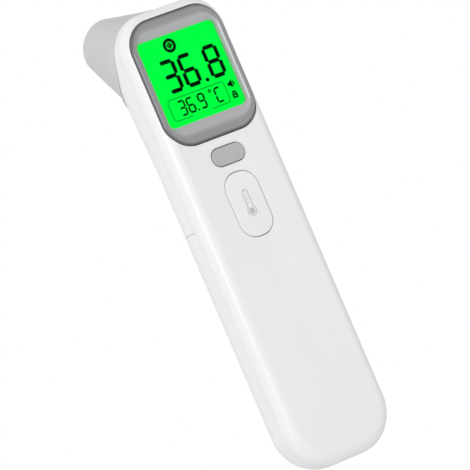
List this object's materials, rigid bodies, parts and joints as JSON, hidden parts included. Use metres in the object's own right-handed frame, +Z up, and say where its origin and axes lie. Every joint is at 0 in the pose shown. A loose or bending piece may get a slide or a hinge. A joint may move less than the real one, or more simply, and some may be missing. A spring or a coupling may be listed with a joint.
{
  "type": "infrared thermometer",
  "caption": "Hand-held infrared thermometer for forehead and ear: slim handle, square backlit display, two keys, and a flared removable cap over the ear probe.",
  "frame": {"origin": "middle of the handle, inside the closed hand: on the centre plane, halfway through the handle's thickness, 60 mm above its bottom end", "axes": "+Z up the handle to the head, -Y out of the display, +Y to the probe's side, +X to the right of someone who reads the display"},
  "size_m": [0.04, 0.0504, 0.1673],
  "materials": {
    "white_shell": "satin moulded ABS",
    "grey_cap": "fine matt moulded ABS",
    "silver_bezel": "silver lacquer",
    "button_grey": "satin silver lacquer",
    "clear_lens": "clear acrylic",
    "lcd_green": "backlit display",
    "dark_plastic": "black moulding",
    "natural_plastic": "natural moulding",
    "rubber_grey": "silicone rubber",
    "board_green": "solder mask on glass-epoxy board",
    "steel": "nickel plated steel",
    "gold_plate": "gold plated tube",
    "cell_jacket": "printed film jacket, plain",
    "red_lead": "insulated lead",
    "black_lead": "insulated lead"
  },
  "bodies": {
    "root": {"front_shell": "white_shell", "rear_shell": "white_shell", "ear_probe": "white_shell", "display_bezel": "silver_bezel", "display_lens": "clear_lens", "probe_film": "clear_lens", "lcd_panel": "lcd_green", "lcd_backlight": "natural_plastic", "sensor_holder": "natural_plastic", "lcd_frame": "dark_plastic", "control_chip": "dark_plastic", "buzzer": "dark_plastic", "measure_switch": "dark_plastic", "mode_switch": "dark_plastic", "battery_tray": "dark_plastic", "zebra_strip": "rubber_grey", "main_board": "board_green", "infrared_sensor": "steel", "waveguide": "gold_plate", "battery_1": "cell_jacket", "battery_2": "cell_jacket", "bridge_contact": "steel", "positive_contact": "steel", "negative_contact": "steel", "contact_spring_1": "steel", "contact_spring_2": "steel", "positive_lead": "red_lead", "negative_lead": "black_lead", "sensor_cable": "black_lead", "board_screw_1": "steel", "board_screw_2": "steel", "board_screw_3": "steel", "board_screw_4": "steel", "shell_screw_1": "steel", "shell_screw_2": "steel", "tray_screw_1": "steel", "tray_screw_2": "steel"},
    "measure_key": {"measure_button": "white_shell", "measure_plunger": "natural_plastic"},
    "mode_key": {"mode_button": "button_grey", "mode_plunger": "natural_plastic"},
    "battery_door": {"battery_cover": "white_shell"},
    "cap": {"forehead_cap": "grey_cap"}
  },
  "joints": [
    {"name": "measure_press", "type": "slide", "parent": "root", "child": "measure_key", "axis": [0, 1, 0], "range_m": [0, 0.0005], "stiffness_N_per_m": 1500, "springref_m": -0.0005},
    {"name": "mode_press", "type": "slide", "parent": "root", "child": "mode_key", "axis": [0, 1, 0], "range_m": [0, 0.0004], "stiffness_N_per_m": 1500, "springref_m": -0.0005},
    {"name": "battery_cover_slide", "type": "slide", "parent": "root", "child": "battery_door", "axis": [0, 0, -1], "range_m": [0, 0.088]},
    {"name": "cap_pull", "type": "slide", "parent": "root", "child": "cap", "axis": [0, 0.9135, 0.4067], "range_m": [0, 0.037]}
  ]
}
